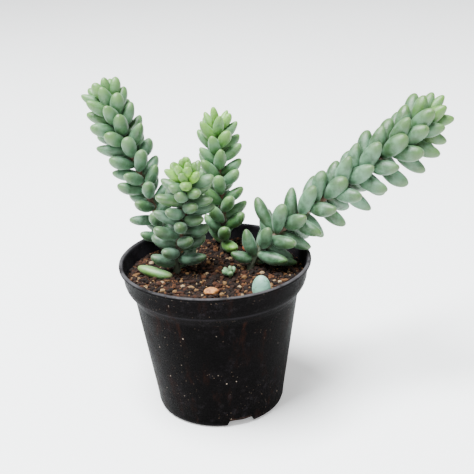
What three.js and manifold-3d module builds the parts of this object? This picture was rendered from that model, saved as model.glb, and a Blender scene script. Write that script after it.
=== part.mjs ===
// A burro's tail succulent in a black nursery pot, in millimetres, +Z up.
// The origin is the centre of the pot's underside, which stands on the surface at z = 0, and -Y is the front.
// The pot is a thin tapered shell with a collar, and holds a gritty mix. Four leafy stems grow from the mix,
// each one a slim core with plump pointed leaves set round it in a spiral.
// Two fallen leaves, a seedling, a pebble and a brick chip lie on the mix.

import * as THREE from "three";
import { mergeVertices } from "three/addons/utils/BufferGeometryUtils.js";
import Module from "manifold-3d";

const wasm = await Module();
wasm.setup();

// ---------- driving dimensions ----------

const CLEARANCE = 0.3; // between pieces that rest on each other
const SLIVER = 0.3; // most that a joined surface moves where its smallest faces are taken out

const POT = {
  height: 85.4,
  rimRadius: 52, // outside of the rolled lip
  floor: 1.3,
  segments: 40,
  slots: 3, // drain slots where the wall meets the floor
  slotAngle: 16.5, // degrees from the front to the middle of the first slot
  slotFoot: 19, // a slot's width at the floor
  slotHead: 12.5, // and at its top
  slotHeight: 5.2,
  slotInner: 24, // radius that a slot reaches in to
};
// The pot's outside, from the floor's edge up to the lip, as [radius, height].
const POT_OUTSIDE = [
  [33.4, 0],
  [34.8, 1.2],
  [35.6, 4.6],
  [36.1, 9],
  [44.5, 65.4],
  [45.1, 67.4],
  [48.5, 72.6],
  [49.5, 75.6],
  [50.4, 82.6],
  [51.7, 83.2],
  [POT.rimRadius, 84.3],
  [51.6, 85.1],
  [51, POT.height],
];
// And its inside, from the lip back down to the floor.
const POT_INSIDE = [
  [50.2, 85.2],
  [49.6, 84.2],
  [48.4, 75.8],
  [47.3, 73],
  [43.9, 67.7],
  [43.4, 65.4],
  [35, 9],
  [34.4, 4.8],
  [33.5, 2.2],
  [32.2, POT.floor],
];

const SOIL = {
  top: 76,
  mound: 1, // how much higher the middle is than the edge
  edgeRadius: 48.1,
  relief: 0.75, // most that a grain stands above or below the surface
  evenRadius: 20, // the relief fades inside this radius, where the grid's points draw together
  rings: 7,
  segments: 40,
  seed: 977,
};

const CORE = { foot: 2.1, tip: 1.4, sides: 6, step: 10, buried: 22, lowReach: 15 };
const LEAF = {
  sides: 5,
  flatness: 0.95, // thickness over width
  golden: 137.508, // degrees between one leaf and the next
  turnJitter: 9, // degrees
  tiltJitter: 6, // degrees
  lengthJitter: 0.09,
  tipWidth: 0.64, // width of the youngest leaf over a grown one
  curl: 0.13, // how far the tip bends up, over the length
  closing: 4, // degrees that a leaf closes up at a time, until it is clear
  leastTilt: 6,
};
// A leaf's radius along its length, as [share of the length, share of the widest radius].
const LEAF_PROFILE = [
  [0, 0],
  [0.34, 0.84],
  [0.76, 0.93],
  [1, 0],
];
const HOLE_SIDES = 12;
const LEAF_SAMPLES = [0.3, 0.45, 0.6, 0.75, 0.88, 0.97]; // where a leaf is tested for clearance

// Each stem's core is one cubic curve through these control points, from the mix to the growing tip.
// tilt is the angle between leaf and core: foot is far from the tip, tip at it, and reach is how fast it changes.
// pressed closes the leaves at the back and front, and sag opens those on one side and closes those on the other.
// slimming is how much smaller the leaves at the stem's foot are.
const STEMS = [
  {
    name: "stem_front",
    curve: [[-21, 0, 76], [-21.3, 0, 93], [-10.9, 0, 120.9], [-12.3, -8, 134.3]],
    leaves: 46, first: 5, crowding: 1.8, turn: 322, seed: 95,
    tilt: { foot: 81.2, tip: 21.1, reach: 3.6, pressed: 0.17, sag: -0.08 },
    leaf: { length: 16, width: 8, tipLength: 11.2, reach: 6, footLength: 1, slimming: 0 },
    foot: [],
  },
  {
    name: "stem_back",
    curve: [[5, 30, 76], [7.5, 30.5, 94.8], [3.7, 35, 120.3], [4.9, 42, 145.8]],
    leaves: 42, first: 5, crowding: 1.38, turn: 50, seed: 2998,
    tilt: { foot: 60, tip: 37.4, reach: 4.9, pressed: 0.11, sag: 0.12 },
    leaf: { length: 16.2, width: 7.9, tipLength: 12.8, reach: 5, footLength: 1, slimming: 0.01 },
    foot: [
      { distance: 6, turn: 202, tilt: 96, length: 16, width: 8.4 },
    ],
  },
  {
    name: "stem_left",
    curve: [[-28, 25.6, 76], [-26.7, 26.2, 90.9], [-34.9, 31, 112.9], [-55.4, 48, 162.7]],
    leaves: 58, first: 5, crowding: 1.52, turn: 74, seed: 988,
    tilt: { foot: 69.3, tip: 39.2, reach: 7.7, pressed: 0.05, sag: -0.09 },
    leaf: { length: 20.3, width: 10.2, tipLength: 13.8, reach: 7, footLength: 0, slimming: 0.28 },
    foot: [],
  },
  {
    name: "stem_right",
    curve: [[18.8, 0.3, 76], [20.9, 0.5, 97.2], [69.4, 3, 116.1], [117.1, 20, 151.4]],
    leaves: 74, first: 7, crowding: 1.33, turn: 316, seed: 1445,
    tilt: { foot: 72.5, tip: 37.2, reach: 3.5, pressed: 0.24, sag: 0.23 },
    leaf: { length: 22.2, width: 10.9, tipLength: 15.8, reach: 7, footLength: 0, slimming: 0.19 },
    foot: [
      { distance: 7.5, turn: 95, tilt: 108, length: 13.5, width: 7.8 },
      { distance: 10.5, turn: 268, tilt: 106, length: 23, width: 7.4 },
      { distance: 25.5, turn: 75, tilt: 81, length: 23, width: 8.4 },
    ],
  },
];

// Leaves that have dropped, by the point that their root end lies at, and the way that their tip points.
const FALLEN = [
  {
    name: "fallen_leaf_left",
    root: [-23.2, -6.4, 78.2], towards: [-19, 7, 1.6], length: 20.5, width: 7.6, curl: 0.08,
  },
  {
    name: "fallen_leaf_right",
    root: [22, -33, 75.2], towards: [2, 5, 9.5], length: 12, width: 10.4, curl: 0.02,
  },
];
const SEEDLING = { foot: [7.6, -8.6, 76], height: 3, radius: 0.9, buried: 5, leaves: 5, length: 5.4, width: 3.1 };
const PEBBLE = { centre: [-2.9, -27.8, 78.2], size: [8.2, 5.6, 4.4], seed: 71 };
const BRICK_CHIP = { centre: [18.6, 26.5, 78.6], size: [6.4, 5.2, 5.4], seed: 83 };

// ---------- small helpers ----------

const radians = THREE.MathUtils.degToRad;
const vector = (p) => new THREE.Vector3(...p);

// Repeatable draws from 0 to 1, by the Park-Miller rule.
function draws(seed) {
  let state = seed;
  return () => {
    state = (state * 48271) % 2147483647;
    return state / 2147483647;
  };
}

// A three.js geometry as a manifold solid, with its shared vertices merged.
function solid(geometry) {
  const bare = geometry.index ? geometry.toNonIndexed() : geometry.clone();
  for (const name of Object.keys(bare.attributes)) {
    if (name !== "position") bare.deleteAttribute(name);
  }
  const merged = mergeVertices(bare, 1e-4);
  return new wasm.Manifold(
    new wasm.Mesh({
      numProp: 3,
      vertProperties: merged.attributes.position.array,
      triVerts: new Uint32Array(merged.index.array),
    }),
  );
}

// A manifold solid as a named three.js mesh.
function mesh(name, body, colour, roughness) {
  const { vertProperties, triVerts, numProp, numVert } = body.getMesh();
  const position = new Float32Array(numVert * 3);
  for (let i = 0; i < numVert; i++) {
    position.set(vertProperties.subarray(i * numProp, i * numProp + 3), i * 3);
  }
  const geometry = new THREE.BufferGeometry();
  geometry.setAttribute("position", new THREE.BufferAttribute(position, 3));
  geometry.setIndex(new THREE.BufferAttribute(triVerts, 1));
  geometry.computeVertexNormals();
  const material = new THREE.MeshStandardMaterial({ color: colour, roughness, metalness: 0 });
  const made = new THREE.Mesh(geometry, material);
  made.name = name;
  return made;
}

// The outer skin of joined solids, with any pocket shut in between them filled.
function fused(pieces) {
  const skins = wasm.Manifold.union(pieces).simplify(SLIVER).decompose();
  return skins.reduce((largest, next) => (next.volume() > largest.volume() ? next : largest));
}

// A shape turned about Z from [radius, height] points.
function turned(profile, segments) {
  const points = profile.map(([radius, height]) => new THREE.Vector2(radius, height));
  return new THREE.LatheGeometry(points, segments).rotateX(Math.PI / 2);
}

// Rings of points, each a closed loop of the same count, joined into one closed skin with a point at each end.
function skin(rings, start, end) {
  const sides = rings[0].length;
  const points = [...rings.flat(), start, end];
  const first = points.length - 2;
  const last = points.length - 1;
  const faces = [];
  for (let side = 0; side < sides; side++) {
    const next = (side + 1) % sides;
    faces.push(first, next, side);
    for (let ring = 0; ring + 1 < rings.length; ring++) {
      const here = ring * sides;
      const above = here + sides;
      faces.push(here + side, here + next, above + next);
      faces.push(here + side, above + next, above + side);
    }
    const top = (rings.length - 1) * sides;
    faces.push(top + side, top + next, last);
  }
  const geometry = new THREE.BufferGeometry().setFromPoints(points);
  geometry.setIndex(faces);
  return geometry;
}

// ---------- pot ----------

function pot() {
  const profile = [[0, 0], ...POT_OUTSIDE, ...POT_INSIDE, [0, POT.floor], [0, 0]];
  let body = solid(turned(profile, POT.segments));
  const below = 1;
  const slot = new THREE.Shape([
    new THREE.Vector2(-POT.slotFoot / 2, -below),
    new THREE.Vector2(POT.slotFoot / 2, -below),
    new THREE.Vector2(POT.slotHead / 2, POT.slotHeight),
    new THREE.Vector2(-POT.slotHead / 2, POT.slotHeight),
  ]);
  for (let i = 0; i < POT.slots; i++) {
    const cutter = new THREE.ExtrudeGeometry(slot, { depth: POT.rimRadius, bevelEnabled: false });
    cutter.rotateX(Math.PI / 2).translate(0, -POT.slotInner, 0);
    cutter.rotateZ(radians(POT.slotAngle + (360 / POT.slots) * i));
    body = body.subtract(solid(cutter));
  }
  return body;
}

// ---------- mix ----------

// Height of the mix's surface without its grains.
function soilHeight(x, y) {
  const share = Math.hypot(x, y) / SOIL.edgeRadius;
  return SOIL.top + SOIL.mound * (1 - share * share);
}

// The mix fills the pot with a small gap, and its top is a round grid of uneven grains.
function mix() {
  const draw = draws(SOIL.seed);
  const ringOf = (radius, heightAt) =>
    Array.from({ length: SOIL.segments }, (_, i) => {
      const angle = (2 * Math.PI * i) / SOIL.segments;
      const x = radius * Math.cos(angle);
      const y = radius * Math.sin(angle);
      return new THREE.Vector3(x, y, heightAt(x, y));
    });
  const inside = POT_INSIDE.filter(([, height]) => height < SOIL.top).reverse();
  const sideRings = inside.map(([radius, height]) => ringOf(radius - CLEARANCE, () => height + CLEARANCE));
  const grain = (x, y) => {
    const even = Math.min(1, Math.hypot(x, y) / SOIL.evenRadius);
    return soilHeight(x, y) + SOIL.relief * even * (2 * draw() - 1);
  };
  const topRings = Array.from({ length: SOIL.rings }, (_, i) =>
    ringOf((SOIL.edgeRadius * (SOIL.rings - i)) / SOIL.rings, grain),
  );
  const bottom = new THREE.Vector3(0, 0, POT.floor + CLEARANCE);
  const middle = new THREE.Vector3(0, 0, soilHeight(0, 0));
  return solid(skin([...sideRings, ...topRings], bottom, middle));
}

// ---------- leaves and stems ----------

// A leaf's frame: forward to its tip, up on its inner face, side across.
function leafFrame(forward, towardsTip) {
  const up = towardsTip.clone().addScaledVector(forward, -towardsTip.dot(forward)).normalize();
  return { forward, up, side: new THREE.Vector3().crossVectors(forward, up) };
}

// The point at a share of a leaf's length, on its middle line, which curls up towards the tip.
function alongLeaf(leaf, share) {
  return leaf.root
    .clone()
    .addScaledVector(leaf.frame.forward, leaf.length * share)
    .addScaledVector(leaf.frame.up, leaf.length * leaf.curl * share * share);
}

// A leaf's radius at a share of its length.
function leafRadius(leaf, share) {
  const next = LEAF_PROFILE.findIndex(([at]) => at >= share);
  const [from, low] = LEAF_PROFILE[next - 1];
  const [to, high] = LEAF_PROFILE[next];
  return (leaf.width / 2) * (low + ((high - low) * (share - from)) / (to - from));
}

// A leaf as a closed skin, with grow added to its radius and its ends.
function leafSolid(leaf, grow = 0) {
  const { forward, up, side } = leaf.frame;
  const rings = LEAF_PROFILE.slice(1, -1).map(([share, part]) => {
    const centre = alongLeaf(leaf, share);
    const radius = (leaf.width / 2) * part + grow;
    return Array.from({ length: LEAF.sides }, (_, i) => {
      const angle = (2 * Math.PI * i) / LEAF.sides;
      return centre
        .clone()
        .addScaledVector(up, radius * LEAF.flatness * Math.sin(angle))
        .addScaledVector(side, -radius * Math.cos(angle));
    });
  });
  const start = alongLeaf(leaf, 0).addScaledVector(forward, -grow);
  const end = alongLeaf(leaf, 1).addScaledVector(forward, grow);
  return solid(skin(rings, start, end));
}

// The stem's core: its curve with the distance along it, and the frame that its leaves turn in.
function coreOf(stem) {
  const curve = new THREE.CubicBezierCurve3(...stem.curve.map(vector));
  curve.arcLengthDivisions = 200;
  const length = curve.getLength();
  return {
    length,
    at(distance) {
      const share = curve.getUtoTmapping(Math.min(distance / length, 1));
      const point = curve.getPoint(share);
      const along = curve.getTangent(share);
      const back = new THREE.Vector3(0, 1, 0).addScaledVector(along, -along.y).normalize();
      return { point, along, back, across: new THREE.Vector3().crossVectors(along, back) };
    },
  };
}

const coreRadius = (share) => CORE.foot + (CORE.tip - CORE.foot) * share;

// The core as a slim tube: straight down in the mix, then along the curve to the tip.
function coreSolid(stem, core) {
  const steps = Math.round(core.length / CORE.step);
  const ringAt = (place, radius, drop) =>
    Array.from({ length: CORE.sides }, (_, i) => {
      const angle = (2 * Math.PI * i) / CORE.sides;
      return place.point
        .clone()
        .addScaledVector(place.across, radius * Math.cos(angle))
        .addScaledVector(place.back, -radius * Math.sin(angle))
        .add(new THREE.Vector3(0, 0, -drop));
    });
  const foot = core.at(0);
  const rings = [ringAt(foot, CORE.foot, CORE.buried)];
  for (let i = 0; i <= steps; i++) {
    rings.push(ringAt(core.at((core.length * i) / steps), coreRadius(i / steps), 0));
  }
  const bottom = foot.point.clone().add(new THREE.Vector3(0, 0, -CORE.buried));
  const top = core.at(core.length);
  return solid(skin(rings, bottom, top.point.clone().addScaledVector(top.along, 2 * CORE.tip)));
}

// True where every sampled ball of a leaf is clear of the mix, the pot's wall and the other stems.
function isClear(leaf, others) {
  return LEAF_SAMPLES.every((share) => {
    const centre = alongLeaf(leaf, share);
    const radius = leafRadius(leaf, share) + CLEARANCE;
    const out = Math.hypot(centre.x, centre.y);
    if (centre.z - radius < soilHeight(centre.x, centre.y) + SOIL.relief && out < POT.rimRadius) return false;
    const belowRim = centre.z - radius < POT.height;
    if (belowRim && out + radius > SOIL.edgeRadius && out < POT.rimRadius + radius) return false;
    return others.every((ball) => ball.centre.distanceTo(centre) > ball.radius + radius);
  });
}

// A leaf that grows from the core at a distance along it. turn is its way round the core, and tilt its angle to
// the core. One that would touch something else closes up against its own stem until it is clear.
function leafAt(core, { distance, turn, tilt, length, width }, others) {
  const place = core.at(distance);
  const outward = place.back.clone().multiplyScalar(Math.cos(radians(turn)));
  outward.addScaledVector(place.across, Math.sin(radians(turn)));
  for (let angle = tilt; ; angle -= LEAF.closing) {
    const forward = place.along.clone().multiplyScalar(Math.cos(radians(angle)));
    forward.addScaledVector(outward, Math.sin(radians(angle)));
    const leaf = { root: place.point, frame: leafFrame(forward, place.along), length, width, curl: LEAF.curl };
    if (isClear(leaf, others) || angle - LEAF.closing < LEAF.leastTilt) return leaf;
  }
}

// The leaves of one stem: a spiral of golden-angle turns, closer together and more upright towards the tip,
// and then the few at its foot that grow out of turn.
function leavesOf(stem, core, others) {
  const draw = draws(stem.seed);
  const wobble = (most) => most * (2 * draw() - 1);
  const { length, width, tipLength, reach, footLength, slimming } = stem.leaf;
  const { pressed, sag } = stem.tilt;
  const spiral = Array.from({ length: stem.leaves }, (_, i) => {
    const share = i / (stem.leaves - 1);
    const distance = stem.first + (core.length - stem.first) * (1 - (1 - share) ** stem.crowding);
    const fromTip = core.length - distance;
    const opening = 1 - Math.exp(-fromTip / stem.tilt.reach);
    const grown = 1 - Math.exp(-fromTip / reach);
    const low = Math.exp(-distance / CORE.lowReach);
    const slim = 1 - slimming * (1 - share);
    const turn = stem.turn + LEAF.golden * i + wobble(LEAF.turnJitter);
    const open = stem.tilt.tip + (stem.tilt.foot - stem.tilt.tip) * opening + wobble(LEAF.tiltJitter);
    const closed = pressed * Math.cos(radians(turn)) ** 2 + sag * Math.sin(radians(turn));
    const even = tipLength + (length - tipLength) * grown + footLength * low;
    const long = (1 + wobble(LEAF.lengthJitter)) * even;
    const wide = width * (LEAF.tipWidth + (1 - LEAF.tipWidth) * grown);
    return { distance, turn, tilt: open * (1 - closed), length: slim * long, width: slim * wide };
  });
  return [...spiral, ...stem.foot].map((growth) => leafAt(core, growth, others));
}

// The balls that stand for a leaf, and for a core, when later leaves are kept clear of them.
function ballsOf(leaf) {
  return LEAF_SAMPLES.map((share) => ({ centre: alongLeaf(leaf, share), radius: leafRadius(leaf, share) }));
}

function coreBalls(core) {
  const count = Math.floor(core.length / CORE.foot);
  return Array.from({ length: count }, (_, i) => ({
    centre: core.at(i * CORE.foot).point,
    radius: CORE.foot + CLEARANCE,
  }));
}

// A plain round hole down into the mix, for what stands at foot, and deeper than it by the clearance.
function hole([x, y, z], radius, depth) {
  const above = 6;
  const wide = radius + 2 * CLEARANCE;
  const tall = above + depth + CLEARANCE;
  const cutter = new THREE.CylinderGeometry(wide, wide, tall, HOLE_SIDES).rotateX(Math.PI / 2);
  return solid(cutter.translate(x, y, z + above - tall / 2));
}

// ---------- what lies on the mix ----------

function fallenLeaf({ root, towards, length, width, curl }) {
  const forward = vector(towards).normalize();
  const skyward = Math.abs(forward.z) > 0.9 ? new THREE.Vector3(0, -1, 0) : new THREE.Vector3(0, 0, 1);
  return { root: vector(root), frame: leafFrame(forward, skyward), length, width, curl };
}

// A short shoot with a few small leaves, rooted in the mix.
function seedling() {
  const foot = vector(SEEDLING.foot);
  const stalk = new THREE.CylinderGeometry(SEEDLING.radius, SEEDLING.radius, SEEDLING.height + SEEDLING.buried, 8);
  stalk.rotateX(Math.PI / 2);
  stalk.translate(foot.x, foot.y, foot.z + (SEEDLING.height - SEEDLING.buried) / 2);
  const pieces = [solid(stalk)];
  for (let i = 0; i < SEEDLING.leaves; i++) {
    const turn = radians(LEAF.golden * i);
    const tilt = radians(i ? 58 : 8);
    const forward = new THREE.Vector3(
      Math.cos(turn) * Math.sin(tilt),
      Math.sin(turn) * Math.sin(tilt),
      Math.cos(tilt),
    );
    const root = foot.clone().add(new THREE.Vector3(0, 0, SEEDLING.height - 0.8));
    const frame = leafFrame(forward, new THREE.Vector3(0.02, 0, 1).normalize());
    pieces.push(leafSolid({ root, frame, length: SEEDLING.length, width: SEEDLING.width, curl: LEAF.curl }));
  }
  return fused(pieces);
}

// An uneven stone, with grow added all round.
function stone({ centre, size, seed }, grow = 0) {
  const draw = draws(seed);
  const round = mergeVertices(new THREE.IcosahedronGeometry(1, 1).deleteAttribute("normal").deleteAttribute("uv"));
  const position = round.getAttribute("position");
  for (let i = 0; i < position.count; i++) {
    const point = new THREE.Vector3().fromBufferAttribute(position, i);
    point.multiplyScalar(0.86 + 0.28 * draw());
    point.multiply(new THREE.Vector3(size[0] / 2 + grow, size[1] / 2 + grow, size[2] / 2 + grow));
    position.setXYZ(i, point.x + centre[0], point.y + centre[1], point.z + centre[2]);
  }
  return solid(round);
}

// ---------- the whole ----------

const COLOURS = {
  pot: 0x1d1c20,
  mix: 0x6b3a22,
  leaf: 0x7fae8b,
  young: 0x8fbf6a,
  pebble: 0xd08a45,
  brick: 0xb5532a,
};

const group = new THREE.Group();
let soil = mix();

// What lies on the mix keeps its place, and the stems' leaves keep clear of it.
const balls = [];
for (const dropped of FALLEN) {
  const leaf = fallenLeaf(dropped);
  group.add(mesh(dropped.name, leafSolid(leaf), COLOURS.young, 0.5));
  soil = soil.subtract(leafSolid(leaf, CLEARANCE));
  balls.push(...ballsOf(leaf));
}

group.add(mesh("seedling", seedling(), COLOURS.young, 0.5));
soil = soil.subtract(hole(SEEDLING.foot, SEEDLING.radius, SEEDLING.buried));
const crown = new THREE.Vector3(0, 0, SEEDLING.height).add(vector(SEEDLING.foot));
balls.push({ centre: crown, radius: SEEDLING.length });

for (const [name, rock, colour] of [
  ["pebble", PEBBLE, COLOURS.pebble],
  ["brick_chip", BRICK_CHIP, COLOURS.brick],
]) {
  group.add(mesh(name, stone(rock), colour, 0.8));
  soil = soil.subtract(stone(rock, CLEARANCE));
  balls.push({ centre: vector(rock.centre), radius: rock.size[0] / 2 + CLEARANCE });
}

for (const stem of STEMS) {
  const core = coreOf(stem);
  const leaves = leavesOf(stem, core, balls);
  const body = fused([coreSolid(stem, core), ...leaves.map((leaf) => leafSolid(leaf))]);
  group.add(mesh(stem.name, body, COLOURS.leaf, 0.5));
  soil = soil.subtract(hole(stem.curve[0], CORE.foot, CORE.buried));
  balls.push(...coreBalls(core), ...leaves.flatMap(ballsOf));
}

group.add(mesh("potting_mix", soil, COLOURS.mix, 0.95));
group.add(mesh("pot", pot(), COLOURS.pot, 0.45));

export default group;
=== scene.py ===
import math

import bpy
import numpy as np
from mathutils import Matrix, Vector


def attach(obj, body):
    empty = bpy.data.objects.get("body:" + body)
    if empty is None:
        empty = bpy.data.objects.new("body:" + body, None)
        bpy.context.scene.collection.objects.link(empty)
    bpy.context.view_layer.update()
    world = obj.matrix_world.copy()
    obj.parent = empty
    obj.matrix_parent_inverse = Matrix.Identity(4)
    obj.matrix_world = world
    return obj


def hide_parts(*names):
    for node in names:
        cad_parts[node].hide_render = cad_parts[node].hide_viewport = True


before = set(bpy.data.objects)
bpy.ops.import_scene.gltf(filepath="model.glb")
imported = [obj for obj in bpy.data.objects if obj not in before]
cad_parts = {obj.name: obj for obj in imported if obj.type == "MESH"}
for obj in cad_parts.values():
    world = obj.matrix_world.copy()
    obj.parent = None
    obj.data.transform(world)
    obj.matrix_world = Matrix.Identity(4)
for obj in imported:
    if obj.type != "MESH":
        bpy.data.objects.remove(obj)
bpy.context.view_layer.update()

MM = 0.001

# ---------- the pot and its mix, in millimetres ----------

POT_SIDES = 112
POT_OUTSIDE = [
    (33.4, 0), (34.8, 1.2), (35.4, 3), (35.7, 6), (36.1, 9), (44.5, 65.4), (44.7, 66.4), (45.2, 67.5),
    (48.3, 72.3), (48.7, 73.1), (49.5, 75.6), (50.4, 82.6), (50.7, 83), (51.5, 83.2), (51.9, 83.7),
    (52, 84.3), (51.9, 84.9), (51.5, 85.3), (51, 85.4),
]
POT_INSIDE = [
    (50.6, 85.35), (50.2, 85.1), (49.7, 84.4), (49.5, 83.2), (48.4, 75.8), (47.3, 73), (43.9, 67.7),
    (43.4, 65.4), (35, 9), (34.4, 4.8), (33.5, 2.2), (32.2, 1.3),
]
SLOT = {"count": 3, "first": 16.5, "foot": 19, "head": 12.5, "height": 5.2, "inner": 24}
RIM = 52
POT_TOP = 85.4

MIX_TOP = 76
MIX_MOUND = 1
MIX_RADIUS = 48.1
MIX_RELIEF = 0.75
MIX_SIDES = 96
MIX_RINGS = 44
LUMPS = {"apart": 6, "depth": 4, "height": 2.4}
FINE_GRIT = {"count": 9000, "least": 0.6, "most": 1.6, "subdivisions": 1, "seed": 4241}
COARSE_GRIT = {"count": 2300, "least": 1.3, "most": 3.4, "subdivisions": 2, "seed": 911}
# Grains are round or long. raised is how far a grain's middle lies over the mix, as a share of its size,
# heaped how much higher some lie, and room how near one comes to what stands there, as a share of its reach.
GRAIN = {
    "kinds": 4, "roughness": 0.14, "round": (1, 0.85, 0.75), "long": (1.6, 0.6, 0.5), "long_share": 0.25,
    "lean": 0.8, "raised": 0.25, "heaped": 0.5, "edge": 0.6, "room": 0.9, "seed": 3,
}
# Grains are joined a handful at a time, which is much quicker than all at once.
HANDFUL = 300

# ---------- the stems and their leaves ----------

CLEARANCE = 0.3
CORE = {"foot": 2.1, "tip": 1.4, "buried": 22, "low_reach": 15}
# golden is the turn from one leaf to the next, closing the step by which a leaf shuts to get clear, and
# ageing how far from the tip leaves take to look old. The depths are of a leaf's two faces, as shares of its
# half width.
LEAF = {
    "sides": 10, "golden": 137.508, "turn_jitter": 9, "tilt_jitter": 6, "length_jitter": 0.09,
    "tip_width": 0.64, "curl": 0.13, "closing": 4, "least_tilt": 6, "ageing": 22,
    "upper_depth": 0.78, "lower_depth": 0.98, "bend": 0.23, "dents": 0.05,
}
# The form that clearance is judged by, as (share of length, share of radius).
LEAF_BOUNDS = [(0, 0), (0.34, 0.84), (0.76, 0.93), (1, 0)]
LEAF_SAMPLES = (0.3, 0.45, 0.6, 0.75, 0.88, 0.97)
# The finer forms that are seen, and the blunter one of the leaf cast off by the rim.
LEAF_FORMS = [
    [
        (0, 0.32), (0.09, 0.56), (0.22, 0.82), (0.38, 0.99), (0.53, 1.0), (0.69, 0.93), (0.82, 0.76),
        (0.92, 0.52), (0.985, 0.22),
    ],
    [
        (0, 0.3), (0.09, 0.5), (0.22, 0.72), (0.4, 0.92), (0.58, 1.03), (0.74, 1.0), (0.86, 0.82),
        (0.94, 0.56), (0.99, 0.22),
    ],
    [
        (0, 0.32), (0.1, 0.58), (0.24, 0.86), (0.37, 0.99), (0.51, 1.0), (0.67, 0.9), (0.8, 0.72),
        (0.91, 0.48), (0.985, 0.19),
    ],
]
CAST_FORM = [
    (0, 0.5), (0.12, 0.76), (0.28, 0.97), (0.45, 1.02), (0.6, 0.97), (0.76, 0.82), (0.88, 0.6), (0.95, 0.38),
    (0.99, 0.14),
]
PATTERN_SEED = 17
CAST_SEED = 29
LUCK_SEED = 1000
# Leaf colours: young, grown, old, and at the leaf's own tip.
SKINS = {
    "leaf_short_stem": ((108, 158, 40), (46, 74, 37), (33, 52, 39), (74, 108, 48)),
    "leaf_fresh": ((98, 148, 40), (63, 106, 44), (54, 89, 46), (96, 136, 54)),
    "leaf_mint": ((70, 112, 42), (48, 84, 41), (39, 70, 42), (88, 126, 54)),
    "leaf_long_stem": ((74, 114, 34), (42, 74, 30), (34, 62, 32), (78, 114, 42)),
    "leaf_fallen": ((84, 118, 44), (74, 104, 42), (64, 92, 42), (104, 130, 60)),
    "leaf_pale": ((116, 154, 130), (104, 144, 128), (96, 138, 124), (124, 160, 140)),
    "leaf_seedling": ((112, 142, 84), (102, 132, 90), (94, 126, 90), (120, 148, 100)),
}

# Each stem is a curve from the mix to its tip, with the lengths and angles of its leaves.
# tilt is (far from the tip, at the tip, how far it takes to change), in degrees and millimetres.
# leaf is (length, width, length at the tip, how far it takes to grow, extra length at the foot).
# foot is the odd leaves at the foot, each (distance, turn, tilt, length, width), and foot_age how old they
# look.
STEMS = [
    {
        "name": "stem_front", "skin": "leaf_short_stem",
        "curve": [(-21, 0, 76), (-21.3, 0, 93), (-10.9, 0, 120.9), (-12.3, -8, 134.3)],
        "leaves": 46, "first": 5, "crowding": 1.8, "turn": 322, "seed": 95,
        "tilt": (81.2, 21.1, 3.6), "leaf": (16, 8, 11.2, 6, 1),
        "pressed": 0.17, "slimming": 0, "sag": -0.08, "foot": [],
    },
    {
        "name": "stem_back", "skin": "leaf_fresh",
        "curve": [(5, 30, 76), (7.5, 30.5, 94.8), (3.7, 35, 120.3), (4.9, 42, 145.8)],
        "leaves": 42, "first": 5, "crowding": 1.38, "turn": 50, "seed": 2998,
        "tilt": (60, 37.4, 4.9), "leaf": (16.2, 7.9, 12.8, 5, 1),
        "pressed": 0.11, "slimming": 0.01, "sag": 0.12,
        "foot": [(6, 202, 96, 16, 8.4)], "foot_age": 0.15,
    },
    {
        "name": "stem_left", "skin": "leaf_mint",
        "curve": [(-28, 25.6, 76), (-26.7, 26.2, 90.9), (-34.9, 31, 112.9), (-55.4, 48, 162.7)],
        "leaves": 58, "first": 5, "crowding": 1.52, "turn": 74, "seed": 988,
        "tilt": (69.3, 39.2, 7.7), "leaf": (20.3, 10.2, 13.8, 7, 0),
        "pressed": 0.05, "slimming": 0.28, "sag": -0.09, "foot": [],
    },
    {
        "name": "stem_right", "skin": "leaf_long_stem",
        "curve": [(18.8, 0.3, 76), (20.9, 0.5, 97.2), (69.4, 3, 116.1), (117.1, 20, 151.4)],
        "leaves": 74, "first": 7, "crowding": 1.33, "turn": 316, "seed": 1445,
        "tilt": (72.5, 37.2, 3.5), "leaf": (22.2, 10.9, 15.8, 7, 0),
        "pressed": 0.24, "slimming": 0.19, "sag": 0.23,
        "foot": [(7.5, 95, 108, 13.5, 7.8), (10.5, 268, 106, 23, 7.4), (25.5, 75, 81, 23, 8.4)],
        "foot_age": 1,
    },
]

# ---------- what lies and sprouts on the mix ----------

FALLEN_LEFT = {
    "root": (-23.2, -6.4, 78.2), "towards": (-19, 7, 1.6), "length": 20.5, "width": 7.6, "curl": 0.08,
    "age": 0.3,
}
FALLEN_RIGHT = {
    "root": (22, -33, 75.2), "towards": (2, 5, 9.5), "length": 12, "width": 10.4, "curl": 0.02,
    "age": 0.5,
}
SEEDLING = {
    "foot": (7.6, -8.6, 76), "height": 3, "leaves": 5, "length": 5.4, "width": 3.1, "curl": 0.1, "age": 0.9,
    "top_tilt": 8, "side_tilt": 58, "crown_drop": 0.8,
}
# Its stalk, as (radius, height over the foot).
SEEDLING_STALK = [(0.9, -5), (0.9, 0), (0.81, 2.7), (0.36, 3.1)]
PEBBLE = {"centre": (-2.9, -27.8, 78.2), "size": (8.2, 5.6, 4.4), "seed": 5}
BRICK_CHIP = {"centre": (18.6, 26.5, 78.6), "size": (6.4, 5.2, 5.4), "seed": 8}
STONE_ROUGHNESS = 0.14
# Grit keeps clear of all that is lower than this.
LOW = 82


# ---------- shaping by hand ----------

def draws(seed):
    """Repeatable draws from 0 to 1, by the Park-Miller rule."""
    state = seed
    while True:
        state = state * 48271 % 2147483647
        yield state / 2147483647


def put_down():
    """Nothing is selected and nothing is being edited."""
    if bpy.context.object and bpy.context.object.mode != "OBJECT":
        bpy.ops.object.mode_set(mode="OBJECT")
    bpy.ops.object.select_all(action="DESELECT")


def pick_up(*pieces):
    """Only these pieces are selected, and the first is the active one."""
    put_down()
    for piece in pieces:
        piece.select_set(True)
    bpy.context.view_layer.objects.active = pieces[0]


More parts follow.
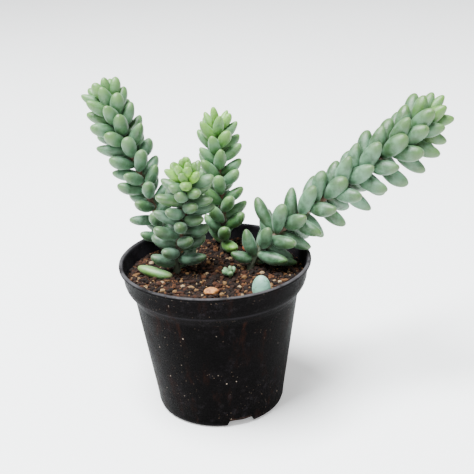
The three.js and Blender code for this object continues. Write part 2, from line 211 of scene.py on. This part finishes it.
def pulled_up(name, sides, profile):
    """A round piece, from a disc that is pulled up and scaled through each (radius, height)."""
    put_down()
    radius, height = profile[0]
    place = (0, 0, height)
    bpy.ops.mesh.primitive_circle_add(vertices=sides, radius=radius, fill_type="NGON", location=place)
    piece = bpy.context.object
    piece.name = name
    bpy.ops.object.transform_apply(location=True, rotation=False, scale=False)
    bpy.ops.object.mode_set(mode="EDIT")
    bpy.ops.mesh.select_all(action="SELECT")
    for next_radius, next_height in profile[1:]:
        bpy.ops.mesh.extrude_region_move(TRANSFORM_OT_translate={"value": (0, 0, next_height - height)})
        grow = next_radius / radius
        bpy.ops.transform.resize(value=(grow, grow, 1), center_override=(0, 0, next_height))
        radius, height = next_radius, next_height
    bpy.ops.mesh.select_all(action="SELECT")
    bpy.ops.mesh.normals_make_consistent(inside=False)
    put_down()
    return piece


def finished_with(piece, kind, **settings):
    """The piece with one modifier applied."""
    pick_up(piece)
    modifier = piece.modifiers.new(kind.title(), kind)
    for setting, value in settings.items():
        setattr(modifier, setting, value)
    bpy.ops.object.modifier_apply(modifier=modifier.name)
    return piece


def smoothed(piece, angle=None):
    """The piece shaded smooth, all over or only across edges below an angle."""
    pick_up(piece)
    if angle is None:
        bpy.ops.object.shade_smooth()
    else:
        bpy.ops.object.shade_smooth_by_angle(angle=math.radians(angle))
    return piece


def mark(piece, name, values):
    """A number at each point of the piece, for its material: one value, or one for each point."""
    layer = piece.data.attributes.get(name) or piece.data.attributes.new(name, "FLOAT", "POINT")
    layer.data.foreach_set("value", np.broadcast_to(np.float32(values), len(layer.data)).copy())


def copied(pattern, place, **marks):
    """A copy of the pattern with its own mesh, set at its place."""
    piece = bpy.data.objects.new(pattern.name, pattern.data.copy())
    bpy.context.scene.collection.objects.link(piece)
    piece.data.transform(place)
    for name, value in marks.items():
        mark(piece, name, value)
    return piece


def joined(name, pieces):
    """All the pieces as one."""
    pick_up(*pieces)
    bpy.ops.object.join()
    piece = bpy.context.object
    piece.name = name
    return piece


def clad(piece, finish):
    """The piece with one finish all over."""
    piece.data.materials.clear()
    piece.data.materials.append(finish)
    return piece


# ---------- finishes ----------

class Flow:
    """A value, colour or direction on its way through a finish."""

    def __init__(self, finish, socket):
        self.finish = finish
        self.socket = socket

    def combined(self, operation, first, second):
        return self.finish.node("Math", {"operation": operation}, {0: first, 1: second})

    def __add__(self, other):
        return self.combined("ADD", self, other)

    __radd__ = __add__

    def __sub__(self, other):
        return self.combined("SUBTRACT", self, other)

    def __rsub__(self, other):
        return self.combined("SUBTRACT", other, self)

    def __mul__(self, other):
        return self.combined("MULTIPLY", self, other)


class Finish:
    """A procedural material that is put together from its shader outwards."""

    def __init__(self, name, **constants):
        self.material = bpy.data.materials.new(name)
        self.material.use_nodes = True
        self.tree = self.material.node_tree
        self.shader = next(node for node in self.tree.nodes if node.type == "BSDF_PRINCIPLED")
        for socket, value in constants.items():
            self.shader.inputs[socket.replace("_", " ")].default_value = value

    def node(self, kind, settings, values, output=0):
        """Any node, with its settings and the values of its sockets."""
        made = self.tree.nodes.new("ShaderNode" + kind)
        for setting, value in settings.items():
            if setting == "stops":
                ramp = made.color_ramp
                while len(ramp.elements) < len(value):
                    ramp.elements.new(0.5)
                for stop, (position, colour) in zip(ramp.elements, value):
                    stop.position = position
                    stop.color = (*colour, 1)
            else:
                setattr(made, setting, value)
        for socket, value in values.items():
            if isinstance(value, Flow):
                self.tree.links.new(value.socket, made.inputs[socket])
            else:
                made.inputs[socket].default_value = value
        return Flow(self, made.outputs[output])

    def place(self):
        return self.node("TexCoord", {}, {}, "Object")

    def mark(self, name):
        return self.node("Attribute", {"attribute_name": name}, {}, "Fac")

    def cloud(self, scale, detail=3, roughness=0.55, place=None):
        """Soft uneven patches, scale of them to a metre."""
        where = place or self.place()
        values = {"Vector": where, "Scale": scale, "Detail": detail, "Roughness": roughness}
        return self.node("TexNoise", {}, values, "Fac")

    def cells(self, scale, output="Distance"):
        """Cells, scale of them to a metre: how far their middles are, or a draw for each."""
        return self.node("TexVoronoi", {}, {"Vector": self.place(), "Scale": scale}, output)

    def spots(self, scale, reach, low, high):
        """A round spot in the middle of some of the cells."""
        near = 1 - self.rise(self.cells(scale), reach, reach * 2)
        return near * self.rise(self.cells(scale, "Color"), low, high)

    def rise(self, value, low, high):
        """0 below low, 1 above high, and smooth between."""
        settings = {"interpolation_type": "SMOOTHSTEP"}
        return self.node("MapRange", settings, {"Value": value, "From Min": low, "From Max": high})

    def mix(self, share, first, second):
        """The first colour, giving way to the second as share rises to 1."""
        first, second = (c if isinstance(c, Flow) else (*c, 1) for c in (first, second))
        return self.node("Mix", {"data_type": "RGBA"}, {0: share, 6: first, 7: second}, 2)

    def ramp(self, value, *stops):
        return self.node("ValToRGB", {"stops": stops}, {"Fac": value})

    def height(self):
        return self.node("SeparateXYZ", {}, {"Vector": self.place()}, "Z")

    def from_axis(self):
        """How far out from the pot's axis."""
        flat = self.node("VectorMath", {"operation": "MULTIPLY"}, {0: self.place(), 1: (1, 1, 0)})
        return self.node("VectorMath", {"operation": "LENGTH"}, {0: flat}, "Value")

    def bump(self, height, distance, strength=1.0):
        made = self.node("Bump", {}, {"Height": height, "Distance": distance, "Strength": strength})
        self.set("Normal", made)

    def set(self, socket, flow):
        self.tree.links.new(flow.socket, self.shader.inputs[socket])


def srgb(*colour):
    """A colour from 0 to 255 as the eye counts it, as the shader wants it."""
    return tuple(((c / 255 + 0.055) / 1.055) ** 2.4 if c > 10 else c / 255 / 12.92 for c in colour)


def leaf_finish(name, young, grown, old, tip):
    """Waxy leaf skin. Pale bloom lies in patches on its middle and is rubbed off here and there."""
    skin = Finish(
        name, Specular_IOR_Level=0.6, Sheen_Weight=0.2, Sheen_Roughness=0.4, Sheen_Tint=(0.76, 1, 0.82, 1),
        Subsurface_Weight=0.08, Subsurface_Radius=(0.5, 1.0, 0.35), Subsurface_Scale=0.003,
    )
    along, age, luck = skin.mark("along"), skin.mark("age"), skin.mark("luck")
    patches = skin.cloud(170, 4, 0.6)
    grain = skin.cloud(1400, 3, 0.6)
    near_tip = skin.rise(along, 0.68, 0.98)
    shade = age + (luck - 0.5) * 0.3 + (patches - 0.5) * 0.35
    colour = skin.ramp(shade, (0, young), (0.4, grown), (1, old))
    bloom = skin.rise(patches + (grain - 0.5) * 0.2 + (luck - 0.5) * 0.16, 0.3, 0.74)
    bloom *= 0.5 + age * 0.7
    colour = skin.mix(bloom * (1 - near_tip * 0.7) * 0.42, colour, srgb(110, 156, 124))
    colour = skin.mix(near_tip * (0.6 - age * 0.3), colour, tip)
    rubbed = skin.rise(skin.cloud(320, 2, 0.5), 0.6, 0.68) * 0.4
    colour = skin.mix(rubbed, colour, srgb(40, 74, 38))
    scars = (1 - skin.rise(skin.cells(260), 0.05, 0.12)) * skin.rise(skin.cloud(80, 2, 0.5), 0.55, 0.6)
    colour = skin.mix(scars * 0.6, colour, srgb(84, 70, 44))
    colour = skin.mix(skin.rise(along, 0.99, 1.0) * 0.1, colour, srgb(120, 96, 62))
    colour = skin.mix(skin.rise(1 - along, 0.82, 1.0) * 0.7, colour, srgb(92, 78, 52))
    skin.set("Base Color", colour)
    skin.set("Roughness", 0.48 + bloom * 0.14 - rubbed * 0.26 + (grain - 0.5) * 0.1)
    skin.bump(grain * 0.35 + patches * 1.6 * (0.4 + age), 0.0007, 0.4)
    return skin.material


def core_finish():
    """Stem between the leaves: grey-green at its foot, painted darker there as shade, and pinkish brown
    above.
    """
    bark = Finish("stem_skin", Roughness=0.6)
    patches = bark.cloud(260, 4, 0.6)
    # The foot colours are dark grey-green: painted shade low on the stem, under the leaves and near the mix,
    # below about 88 to 104 mm.
    foot = bark.ramp(patches, (0.3, srgb(44, 46, 34)), (0.5, srgb(60, 66, 50)), (0.7, srgb(58, 80, 58)))
    above = bark.ramp(patches, (0.3, srgb(90, 60, 48)), (0.5, srgb(110, 80, 62)), (0.7, srgb(84, 88, 54)))
    bark.set("Base Color", bark.mix(bark.rise(bark.height(), 0.088, 0.104), foot, above))
    bark.bump(bark.cloud(900, 4, 0.6), 0.0006, 0.6)
    return bark.material


def pot_finish():
    """Thin black plastic, with dust and dried splashes of mix. Its inner wall is greyer with dust, and the
    top of its rim has a painted highlight.
    """
    plastic = Finish("black_plastic", Specular_IOR_Level=0.013)
    height, radius = plastic.height(), plastic.from_axis()
    haze = plastic.rise(plastic.cloud(26, 4, 0.6), 0.42, 0.7)
    dust = plastic.rise(plastic.cloud(1500, 5, 0.8), 0.46, 0.66)
    squeezed = plastic.node("Mapping", {}, {"Vector": plastic.place(), "Scale": (1, 1, 0.3)})
    runs = plastic.rise(plastic.cloud(130, 6, 0.7, squeezed), 0.52, 0.74)
    foot = 1 - plastic.rise(height, 0.0, 0.045)
    under_collar = plastic.rise(height, 0.05, 0.066) * (1 - plastic.rise(height, 0.066, 0.069))
    scuffs = plastic.rise(plastic.cloud(210, 7, 0.8), 0.52, 0.68)
    sown = plastic.rise(plastic.cloud(48, 3, 0.6), 0.44, 0.6)
    specks = plastic.spots(560, 0.1, 0.5, 0.66)
    flecks = plastic.spots(260, 0.06, 0.54, 0.62)
    within = plastic.rise(0.0371 + height * 0.157 - radius, 0.0, 0.0004)
    inner = within * plastic.rise(height, 0.07, 0.074)
    # Painted highlight: a pale grey band along the top of the rim.
    rim_top_highlight = plastic.rise(height, 0.0844, 0.0852)
    # This cloud varies the dust on the inner wall and also makes the painted highlight on the rim top
    # patchy.
    worn = plastic.rise(plastic.cloud(120, 5, 0.65), 0.28, 0.6)
    colour = plastic.mix(haze * 0.6, srgb(2, 1.6, 1.6), srgb(6, 5, 5))
    colour = plastic.mix(dust * (0.14 + haze * 0.5), colour, srgb(24, 21, 23))
    colour = plastic.mix(runs * (0.24 + foot * 0.3 + under_collar * 0.4), colour, srgb(42, 22, 15))
    colour = plastic.mix(scuffs * haze * 0.5 + scuffs * foot * 0.4, colour, srgb(36, 33, 36))
    colour = plastic.mix(specks * sown * 0.3, colour, srgb(128, 108, 92))
    colour = plastic.mix(flecks * sown * 0.65, colour, srgb(170, 156, 140))
    colour = plastic.mix(inner * (0.25 + worn * 0.4), colour, srgb(44, 42, 46))
    # Paints the highlight along the top of the rim, patchy by the cloud above.
    colour = plastic.mix(rim_top_highlight * (0.1 + worn * 0.5), colour, srgb(80, 78, 80))
    plastic.set("Base Color", colour)
    plastic.set("Roughness", 0.42 + haze * 0.14 + dust * 0.16 + runs * 0.12)
    dents = plastic.cloud(60, 2, 0.5)
    plastic.bump(dust * 0.4 + specks * 0.6 + flecks + scuffs * 0.3 + dents * 1.2, 0.0003, 0.5)
    return plastic.material


def mix_finish():
    """Damp crumbs of coir and bark."""
    crumbs = Finish("coir_and_bark", Roughness=0.95, Specular_IOR_Level=0.2)
    fine = crumbs.cloud(900, 6, 0.8)
    patches = crumbs.cloud(120, 3, 0.6)
    colour = crumbs.ramp(
        fine + (patches - 0.5) * 0.4,
        (0.3, srgb(7, 4, 3)), (0.44, srgb(24, 13, 9)), (0.56, srgb(44, 25, 15)), (0.67, srgb(70, 42, 26)),
        (0.78, srgb(106, 77, 50)),
    )
    crumbs.set("Base Color", colour)
    crumbs.bump(fine + crumbs.cells(900) * 0.8, 0.002, 1.0)
    return crumbs.material


def grit_finish():
    """Grains of bark, brick, sand and pumice, each of one colour."""
    grain = Finish("grit", Roughness=0.9, Specular_IOR_Level=0.25)
    luck = grain.mark("luck")
    colour = grain.ramp(
        luck,
        (0, srgb(6, 3.5, 3)), (0.38, srgb(16, 9, 6)), (0.58, srgb(34, 18, 10)), (0.76, srgb(56, 30, 16)),
        (0.88, srgb(84, 51, 28)), (0.95, srgb(112, 84, 52)), (1, srgb(150, 128, 98)),
    )
    colour = grain.mix(grain.rise(grain.cloud(1500, 4, 0.7), 0.4, 0.7) * 0.5, colour, srgb(48, 28, 18))
    grain.set("Base Color", colour)
    grain.bump(grain.cloud(2400, 3, 0.6), 0.0006, 0.9)
    return grain.material


def stone_finish(name, pale, dark):
    """Rough stone of two shades."""
    stone = Finish(name, Roughness=0.7)
    patches = stone.cloud(420, 5, 0.65)
    stone.set("Base Color", stone.mix(stone.rise(patches, 0.38, 0.66), dark, pale))
    stone.bump(stone.cloud(1500, 4, 0.65), 0.0005, 0.7)
    return stone.material


# ---------- the plant ----------

def unit(vector):
    """The same direction, one unit long."""
    return vector / np.linalg.norm(vector)


def leaf_radius(width, share):
    """Half the width of a leaf's bounds at a share of its length."""
    shares, radii = zip(*LEAF_BOUNDS)
    return width / 2 * np.interp(share, shares, radii)


def along_leaf(leaf, share):
    """The middle of a leaf at a share of its length."""
    reach = leaf["length"] * share
    return leaf["root"] + leaf["forward"] * reach + leaf["up"] * (reach * leaf["curl"] * share)


def leaf_set(root, forward, towards_tip, length, width, curl):
    """A leaf from its root, which curls up towards the tip of its stem."""
    up = unit(towards_tip - forward * (towards_tip @ forward))
    return {"root": root, "forward": forward, "up": up, "length": length, "width": width, "curl": curl}


def mix_height(x, y):
    """The top of the mix, a low mound, before its lumps."""
    return MIX_TOP + MIX_MOUND * (1 - (math.hypot(x, y) / MIX_RADIUS) ** 2)


def on_curve(curve, s):
    """The point of a Bezier curve at s, from 0 to 1."""
    start, first, second, end = curve
    left = 1 - s
    return left ** 3 * start + 3 * left ** 2 * s * first + 3 * left * s ** 2 * second + s ** 3 * end


def curve_direction(curve, s):
    """Where a Bezier curve heads at s."""
    start, first, second, end = curve
    left = 1 - s
    return unit(left ** 2 * (first - start) + 2 * left * s * (second - first) + s ** 2 * (end - second))


def core_places(curve):
    """How long the core is, and the place at any distance along it."""
    curve = [np.array(point, float) for point in curve]
    steps = np.linspace(0, 1, 201)
    points = on_curve(curve, steps[:, None])
    lengths = np.concatenate([[0], np.cumsum(np.linalg.norm(np.diff(points, axis=0), axis=1))])

    def place(distance):
        s = np.interp(distance, lengths, steps)
        along = curve_direction(curve, s)
        back = unit(np.array((0, 1, 0)) - along * along[1])
        return on_curve(curve, s), along, back, np.cross(along, back)

    return lengths[-1], place


def is_clear(leaf, others):
    """True where the leaf is clear of the mix, the pot's wall and what is already placed."""
    for share in LEAF_SAMPLES:
        centre = along_leaf(leaf, share)
        radius = leaf_radius(leaf["width"], share) + CLEARANCE
        out = math.hypot(centre[0], centre[1])
        low = centre[2] - radius
        if low < mix_height(centre[0], centre[1]) + MIX_RELIEF and out < RIM:
            return False
        if low < POT_TOP and out + radius > MIX_RADIUS and out < RIM + radius:
            return False
        apart = np.linalg.norm(others[:, :3] - centre, axis=1)
        if (apart <= others[:, 3] + radius).any():
            return False
    return True


def leaf_balls(leaf):
    """Balls, each (x, y, z, radius), that stand for a leaf when others look for room."""
    return [(*along_leaf(leaf, share), leaf_radius(leaf["width"], share)) for share in LEAF_SAMPLES]


def leaf_at(place, growth, others):
    """A leaf that closes up against its own stem until it is clear."""
    distance, turn, tilt, length, width = growth
    point, along, back, across = place(distance)
    outward = back * math.cos(math.radians(turn)) + across * math.sin(math.radians(turn))
    while True:
        forward = along * math.cos(math.radians(tilt)) + outward * math.sin(math.radians(tilt))
        leaf = leaf_set(point, forward, along, length, width, LEAF["curl"])
        if is_clear(leaf, others) or tilt - LEAF["closing"] < LEAF["least_tilt"]:
            return leaf
        tilt -= LEAF["closing"]


def stem_leaves(stem, others):
    """The leaves of one stem, each with its age from 0 at the tip to 1, and its balls."""
    draw = draws(stem["seed"])

    def wobble(most):
        return most * (2 * next(draw) - 1)

    reach, place = core_places(stem["curve"])
    foot_tilt, tip_tilt, tilt_reach = stem["tilt"]
    length, width, tip_length, grow_reach, foot_length = stem["leaf"]
    leaves = []
    for i in range(stem["leaves"]):
        share = i / (stem["leaves"] - 1)
        distance = stem["first"] + (reach - stem["first"]) * (1 - (1 - share) ** stem["crowding"])
        from_tip = reach - distance
        turn = stem["turn"] + LEAF["golden"] * i + wobble(LEAF["turn_jitter"])
        opening = 1 - math.exp(-from_tip / tilt_reach)
        tilt = tip_tilt + (foot_tilt - tip_tilt) * opening + wobble(LEAF["tilt_jitter"])
        round_core = math.radians(turn)
        tilt *= 1 - stem["pressed"] * math.cos(round_core) ** 2 - stem["sag"] * math.sin(round_core)
        grown = 1 - math.exp(-from_tip / grow_reach)
        low = math.exp(-distance / CORE["low_reach"])
        slim = 1 - stem["slimming"] * (1 - share)
        long = tip_length + (length - tip_length) * grown + foot_length * low
        long *= slim * (1 + wobble(LEAF["length_jitter"]))
        wide = slim * width * (LEAF["tip_width"] + (1 - LEAF["tip_width"]) * grown)
        leaf = leaf_at(place, (distance, turn, tilt, long, wide), others)
        leaf["age"] = 1 - math.exp(-from_tip / LEAF["ageing"])
        leaves.append(leaf)
    for growth in stem["foot"]:
        leaf = leaf_at(place, growth, others)
        leaf["age"] = stem["foot_age"]
        leaves.append(leaf)
    balls = [ball for leaf in leaves for ball in leaf_balls(leaf)]
    for i in range(int(reach / CORE["foot"])):
        balls.append((*place(i * CORE["foot"])[0], CORE["foot"] + CLEARANCE))
    return leaves, balls


def leaf_pattern(form, seed):
    """One leaf, one unit long along Z and wide along X. It bends to +Y, where it is flatter."""
    leaf = pulled_up("leaf_pattern", LEAF["sides"], [(radius / 2, share) for share, radius in form])
    mesh = leaf.data
    points = np.empty(len(mesh.vertices) * 3, np.float32)
    mesh.vertices.foreach_get("co", points)
    points = points.reshape(-1, 3)
    mark(leaf, "along", points[:, 2] / form[-1][0])
    draw = draws(seed)
    dents = np.array([1 + LEAF["dents"] * (2 * next(draw) - 1) for _ in points])
    points[:, 0] *= dents
    points[:, 1] *= np.where(points[:, 1] > 0, LEAF["upper_depth"], LEAF["lower_depth"]) * dents
    points[:, 1] += LEAF["bend"] * points[:, 2] ** 2
    mesh.vertices.foreach_set("co", points.ravel())
    return leaf


def leaf_place(leaf):
    """The matrix that sets the pattern at a leaf's root."""
    side = np.cross(leaf["up"], leaf["forward"])
    place = np.eye(4)
    place[:3, 0] = side * leaf["width"] * MM
    place[:3, 1] = leaf["up"] * leaf["width"] * MM
    place[:3, 2] = leaf["forward"] * leaf["length"] * MM
    place[:3, 3] = leaf["root"] * MM
    return Matrix(place.tolist())


def core(stem):
    """The core, a tube along its curve with its foot straight down in the mix."""
    put_down()
    bpy.ops.curve.primitive_bezier_curve_add(location=(0, 0, 0))
    tube = bpy.context.object
    start, first, second, end = (Vector(p) * MM for p in stem["curve"])
    spline = tube.data.splines[0]
    spline.bezier_points.add(1)
    bottom, foot, tip = spline.bezier_points
    below = start - Vector((0, 0, CORE["buried"] * MM))
    handles = [
        (bottom, below, below, below.lerp(start, 0.3), CORE["foot"]),
        (foot, start, below.lerp(start, 0.7), first, CORE["foot"]),
        (tip, end, second, end, CORE["tip"]),
    ]
    for point, centre, left, right, radius in handles:
        point.handle_left_type = point.handle_right_type = "FREE"
        point.co, point.handle_left, point.handle_right = centre, left, right
        point.radius = radius
    tube.data.bevel_depth = MM
    tube.data.bevel_resolution = 3
    tube.data.resolution_u = 24
    tube.data.use_fill_caps = True
    bpy.ops.object.convert(target="MESH")
    return bpy.context.object


def stem_piece(stem, leaves, patterns, skin, bark):
    """A whole stem: its leaves, each a copy of one of the patterns, and its core."""
    draw = draws(stem["seed"] + LUCK_SEED)
    copies = []
    for leaf in leaves:
        luck = next(draw)
        pattern = patterns[int(next(draw) * len(patterns))]
        copies.append(copied(pattern, leaf_place(leaf), age=leaf["age"], luck=luck))
    plant = clad(joined(stem["name"] + "_leaves", copies), skin)
    finished_with(plant, "SUBSURF", levels=1, render_levels=1)
    return smoothed(joined(stem["name"] + "_plant", [plant, clad(core(stem), bark)]))


def loose_leaf(name, shape, pattern, skin):
    """A leaf that lies on the mix, its hollow side up."""
    root = np.array(shape["root"], float)
    forward = unit(np.array(shape["towards"], float))
    leaf = leaf_set(root, forward, np.array((0, 0, 1)), shape["length"], shape["width"], shape["curl"])
    piece = clad(copied(pattern, leaf_place(leaf), age=shape["age"], luck=0.5), skin)
    piece.name = name
    finished_with(piece, "SUBSURF", levels=2, render_levels=2)
    return smoothed(piece), leaf


def seedling(pattern, skin):
    """A rosette on a short stalk: one leaf up and the rest out to the sides."""
    foot = np.array(SEEDLING["foot"], float)
    root = foot + (0, 0, SEEDLING["height"] - SEEDLING["crown_drop"])
    # Just off the vertical, because one leaf is nearly upright.
    skyward = unit(np.array((0.02, 0, 1)))
    copies = []
    for i in range(SEEDLING["leaves"]):
        turn = math.radians(LEAF["golden"] * i)
        tilt = math.radians(SEEDLING["side_tilt"] if i else SEEDLING["top_tilt"])
        out = math.sin(tilt)
        forward = np.array((math.cos(turn) * out, math.sin(turn) * out, math.cos(tilt)))
        leaf = leaf_set(root, forward, skyward, SEEDLING["length"], SEEDLING["width"], SEEDLING["curl"])
        copies.append(copied(pattern, leaf_place(leaf), age=SEEDLING["age"], luck=i / SEEDLING["leaves"]))
    stalk = pulled_up("seedling_stalk", LEAF["sides"], [(r * MM, h * MM) for r, h in SEEDLING_STALK])
    stalk.data.transform(Matrix.Translation(Vector(foot) * MM))
    piece = clad(joined("seedling_plant", copies + [stalk]), skin)
    finished_with(piece, "SUBSURF", levels=1, render_levels=1)
    return smoothed(piece)


# ---------- the pot ----------

def pot():
    """The pot's shell with its drain slots, each narrower at its head."""
    shell = pulled_up("pot_shell", POT_SIDES, [(r * MM, h * MM) for r, h in POT_OUTSIDE + POT_INSIDE])
    for i in range(SLOT["count"]):
        put_down()
        bpy.ops.mesh.primitive_cube_add(size=1)
        cutter = bpy.context.object
        deep = RIM - SLOT["inner"]
        tall = SLOT["height"] * 2
        bpy.ops.transform.resize(value=(SLOT["foot"] * MM, deep * MM, tall * MM))
        bpy.ops.object.transform_apply(location=False, rotation=False, scale=True)
        bpy.ops.object.mode_set(mode="EDIT")
        bpy.ops.mesh.select_all(action="DESELECT")
        bpy.ops.object.mode_set(mode="OBJECT")
        # Its upper face alone is made narrower.
        for face in cutter.data.polygons:
            face.select = face.normal.z > 0.9
        bpy.ops.object.mode_set(mode="EDIT")
        bpy.ops.transform.resize(value=(SLOT["head"] / SLOT["foot"], 1, 1), center_override=(0, 0, 0))
        bpy.ops.object.mode_set(mode="OBJECT")
        turn = Matrix.Rotation(math.radians(SLOT["first"] + 360 / SLOT["count"] * i), 4, "Z")
        cutter.data.transform(turn @ Matrix.Translation((0, -(SLOT["inner"] + deep / 2) * MM, 0)))
        finished_with(shell, "BOOLEAN", operation="DIFFERENCE", object=cutter, solver="EXACT")
        bpy.data.objects.remove(cutter)
    return smoothed(clad(shell, pot_finish()), 35)


# ---------- the mix ----------

def mix_plug(finish):
    """The mix in the pot, with lumps over its top."""
    inside = [(r - CLEARANCE, h + CLEARANCE) for r, h in reversed(POT_INSIDE) if h < MIX_TOP]
    rings = [MIX_RADIUS * (1 - i / MIX_RINGS) for i in range(MIX_RINGS)]
    top = [(ring, mix_height(ring, 0)) for ring in rings]
    plug = pulled_up("mix_plug", MIX_SIDES, [(r * MM, h * MM) for r, h in inside + top])
    lumps = bpy.data.textures.new("lumps", "CLOUDS")
    lumps.noise_scale = LUMPS["apart"] * MM
    lumps.noise_depth = LUMPS["depth"]
    finished_with(
        plug, "DISPLACE", texture=lumps, direction="Z", strength=LUMPS["height"] * MM, mid_level=0.5,
        texture_coords="LOCAL",
    )
    return smoothed(clad(plug, finish))


def grain_patterns(subdivisions):
    """A few rough grains, each one unit across."""
    grains = []
    for seed in range(GRAIN["kinds"]):
        put_down()
        bpy.ops.mesh.primitive_ico_sphere_add(subdivisions=subdivisions, radius=0.5)
        grain = bpy.context.object
        bpy.ops.object.mode_set(mode="EDIT")
        bpy.ops.mesh.select_all(action="SELECT")
        bpy.ops.transform.vertex_random(offset=GRAIN["roughness"], seed=seed + GRAIN["seed"])
        put_down()
        grains.append(grain)
    return grains


def grit(name, sizes, blocked, finish):
    """Loose grains over the mix, clear of what stands and lies on it."""
    draw = draws(sizes["seed"])
    patterns = grain_patterns(sizes["subdivisions"])
    handfuls, copies = [], []
    for i in range(sizes["count"]):
        out = (MIX_RADIUS - GRAIN["edge"]) * math.sqrt(next(draw))
        turn = 2 * math.pi * next(draw)
        x, y = out * math.cos(turn), out * math.sin(turn)
        size = sizes["least"] + (sizes["most"] - sizes["least"]) * next(draw) ** 2
        stretch = GRAIN["long"] if next(draw) < GRAIN["long_share"] else GRAIN["round"]
        luck = next(draw)
        spin, lean = 2 * math.pi * next(draw), GRAIN["lean"] * (next(draw) - 0.5)
        if any(math.hypot(x - bx, y - by) < reach * GRAIN["room"] for bx, by, reach in blocked):
            continue
        if out + size * stretch[0] / 2 > MIX_RADIUS:
            continue
        height = mix_height(x, y) + GRAIN["raised"] * size + GRAIN["heaped"] * next(draw)
        turned = Matrix.Rotation(spin, 4, "Z") @ Matrix.Rotation(lean, 4, "Y")
        sized = Matrix.Diagonal([size * s * MM for s in stretch] + [1])
        place = Matrix.Translation(Vector((x, y, height)) * MM) @ turned @ sized
        copies.append(copied(patterns[i % len(patterns)], place, luck=luck))
        if len(copies) == HANDFUL:
            handfuls.append(joined(name, copies))
            copies = []
    for pattern in patterns:
        bpy.data.objects.remove(pattern)
    return clad(joined(name, handfuls + copies), finish)


def stone(name, shape, finish):
    """A lump of stone, its corners worn round."""
    put_down()
    bpy.ops.mesh.primitive_ico_sphere_add(subdivisions=2, radius=0.5)
    piece = bpy.context.object
    piece.name = name
    bpy.ops.object.mode_set(mode="EDIT")
    bpy.ops.mesh.select_all(action="SELECT")
    bpy.ops.transform.vertex_random(offset=STONE_ROUGHNESS, seed=shape["seed"])
    put_down()
    sized = Matrix.Diagonal([s * MM for s in shape["size"]] + [1])
    piece.data.transform(Matrix.Translation(Vector(shape["centre"]) * MM) @ sized)
    finished_with(piece, "SUBSURF", levels=2, render_levels=2)
    return smoothed(clad(piece, finish))


def keep(piece, node):
    """The piece takes the place of a node."""
    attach(piece, "root")
    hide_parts(node)


# ---------- the whole ----------

patterns = [leaf_pattern(form, PATTERN_SEED + i) for i, form in enumerate(LEAF_FORMS)]
cast = leaf_pattern(CAST_FORM, CAST_SEED)
bark = core_finish()
tan = stone_finish("tan_stone", srgb(188, 130, 70), srgb(112, 62, 28))
clay = stone_finish("fired_clay", srgb(158, 84, 46), srgb(96, 44, 24))
skins = {name: leaf_finish(name, *(srgb(*colour) for colour in colours)) for name, colours in SKINS.items()}

left_piece, left_leaf = loose_leaf("leaf_on_mix_left", FALLEN_LEFT, patterns[0], skins["leaf_fallen"])
right_piece, right_leaf = loose_leaf("leaf_on_mix_right", FALLEN_RIGHT, cast, skins["leaf_pale"])
placed = leaf_balls(left_leaf) + leaf_balls(right_leaf)
crown = np.array(SEEDLING["foot"], float) + (0, 0, SEEDLING["height"])
placed.append((*crown, SEEDLING["length"]))
for rock in (PEBBLE, BRICK_CHIP):
    placed.append((*rock["centre"], rock["size"][0] / 2 + CLEARANCE))

blocked = [(x, y, reach) for x, y, z, reach in placed if z < LOW]
for stem in STEMS:
    leaves, balls = stem_leaves(stem, np.array(placed))
    placed += balls
    blocked.append((*stem["curve"][0][:2], CORE["foot"]))
    keep(stem_piece(stem, leaves, patterns, skins[stem["skin"]], bark), stem["name"])

keep(left_piece, "fallen_leaf_left")
keep(right_piece, "fallen_leaf_right")
keep(seedling(patterns[1], skins["leaf_seedling"]), "seedling")
for pattern in patterns + [cast]:
    bpy.data.objects.remove(pattern)
keep(stone("tan_pebble", PEBBLE, tan), "pebble")
keep(stone("brick_crumb", BRICK_CHIP, clay), "brick_chip")
keep(mix_plug(mix_finish()), "potting_mix")
grains = grit_finish()
keep(grit("fine_grit", FINE_GRIT, blocked, grains), "potting_mix")
keep(grit("coarse_grit", COARSE_GRIT, blocked, grains), "potting_mix")
keep(pot(), "pot")

# ---------- floor, light and camera ----------

bpy.ops.mesh.primitive_plane_add(size=6)
floor = bpy.context.object
floor.name = "floor"
paper = Finish("white_paper", Roughness=0.9, Emission_Strength=0.35)
paper.set("Base Color", paper.mix(paper.cloud(3, 2, 0.5), (0.86, 0.86, 0.86), (0.9, 0.9, 0.9)))
floor.data.materials.append(paper.material)

world = bpy.data.worlds.new("studio")
world.use_nodes = True
world.node_tree.nodes["Background"].inputs["Color"].default_value = (1, 1, 1, 1)
world.node_tree.nodes["Background"].inputs["Strength"].default_value = 0.78
bpy.context.scene.world = world


def softbox(name, place, target, size, power):
    """A square soft light that faces its target."""
    light = bpy.data.lights.new(name, "AREA")
    light.size = size
    light.energy = power
    light.color = (0.94, 0.98, 1)
    lamp = bpy.data.objects.new(name, light)
    bpy.context.scene.collection.objects.link(lamp)
    lamp.location = place
    lamp.rotation_euler = (Vector(target) - Vector(place)).to_track_quat("-Z", "Y").to_euler()


softbox("overhead_softbox", (-0.5, -0.3, 1.9), (0, 0, 0), 1.1, 210)
softbox("fill_softbox", (0.8, -0.6, 0.5), (0, 0, 0.08), 0.7, 2)

camera = bpy.data.objects.new("camera", bpy.data.cameras.new("camera"))
bpy.context.scene.collection.objects.link(camera)
camera.data.sensor_width = 36
camera.data.lens = 68.354
camera.location = (0, -0.44712, 0.27825)
camera.rotation_euler = (math.radians(67.865), math.radians(2.11), math.radians(-2.44))
bpy.context.scene.camera = camera
